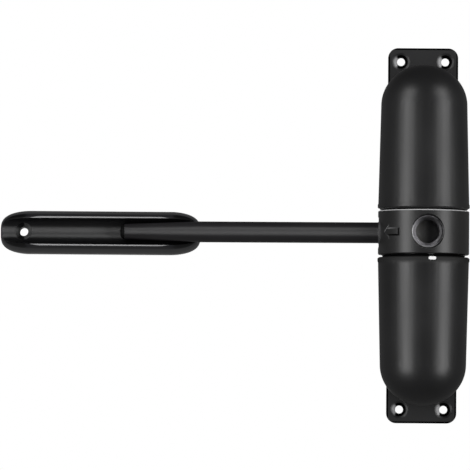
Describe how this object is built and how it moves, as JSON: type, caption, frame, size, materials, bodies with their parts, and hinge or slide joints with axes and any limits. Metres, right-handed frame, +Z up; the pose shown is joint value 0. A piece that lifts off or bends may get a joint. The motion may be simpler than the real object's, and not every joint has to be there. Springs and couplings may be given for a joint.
{
  "type": "spring door closer",
  "caption": "Surface spring door closer: two domed spring housings on a back plate, a turning collar with a rod arm, and a grooved guide shoe for the arm's tip.",
  "frame": {"origin": "middle of the back plate's wall face, which is the middle of its four screw holes", "axes": "+Z up the spindle, +Y into the wall, the front faces -Y, the closed arm points to -X"},
  "size_m": [0.2116, 0.045, 0.17],
  "materials": {
    "satin_black_steel": "satin black powder coat",
    "satin_black_shell": "satin black coat",
    "satin_black_collar": "satin black coat",
    "satin_black_rod": "satin black coat",
    "black_oxide_steel": "black oxide",
    "dark_steel": "dark zinc plated",
    "gloss_black_shoe": "gloss black",
    "black_nylon": "smooth",
    "white_nylon": "smooth",
    "zinc_steel": "zinc plated",
    "bright_steel": "bright",
    "spring_steel": "oiled spring wire",
    "bronze": "sintered bronze"
  },
  "bodies": {
    "base": {"back_plate": "satin_black_steel", "upper_lug": "zinc_steel", "lower_lug": "zinc_steel", "upper_rivets": "zinc_steel", "lower_rivets": "zinc_steel", "upper_housing": "satin_black_shell", "lower_housing": "satin_black_shell", "upper_housing_screws": "bright_steel", "lower_housing_screws": "bright_steel", "stop_pin": "black_oxide_steel", "stop_plug": "white_nylon", "spindle": "bright_steel", "upper_circlip": "spring_steel", "lower_circlip": "spring_steel", "upper_anchor": "zinc_steel", "lower_anchor": "zinc_steel", "upper_dowels": "bright_steel", "lower_dowels": "bright_steel", "upper_spacer": "zinc_steel", "lower_spacer": "zinc_steel", "upper_thrust_washer": "bronze", "lower_thrust_washer": "bronze", "upper_spring": "spring_steel", "lower_spring": "spring_steel"},
    "arm": {"collar": "satin_black_collar", "drive_hub": "black_oxide_steel", "drive_key": "bright_steel", "upper_bush": "bronze", "lower_bush": "bronze", "upper_drive_disc": "zinc_steel", "lower_drive_disc": "zinc_steel", "arm_socket": "black_oxide_steel", "front_socket": "dark_steel", "arm_rod": "satin_black_rod", "nose_plug": "black_nylon"},
    "shoe": {"guide_shoe": "gloss_black_shoe"}
  },
  "joints": [
    {"name": "arm_swing", "type": "hinge", "parent": "base", "child": "arm", "pos_m": [0, -0.02435, 0.0002], "axis": [0, 0, 1], "range_deg": [0, 90], "stiffness_Nm_per_rad": 1.2, "springref_deg": -40.11, "deforming": ["upper_spring", "lower_spring"]},
    {"name": "shoe_slide", "type": "slide", "parent": "arm", "child": "shoe", "axis": [1, 0, 0], "range_m": [0, 0.044]}
  ],
  "couplings": [
    {"joint": "shoe_slide", "follows": "arm_swing", "m_per_rad": 0.0274}
  ]
}
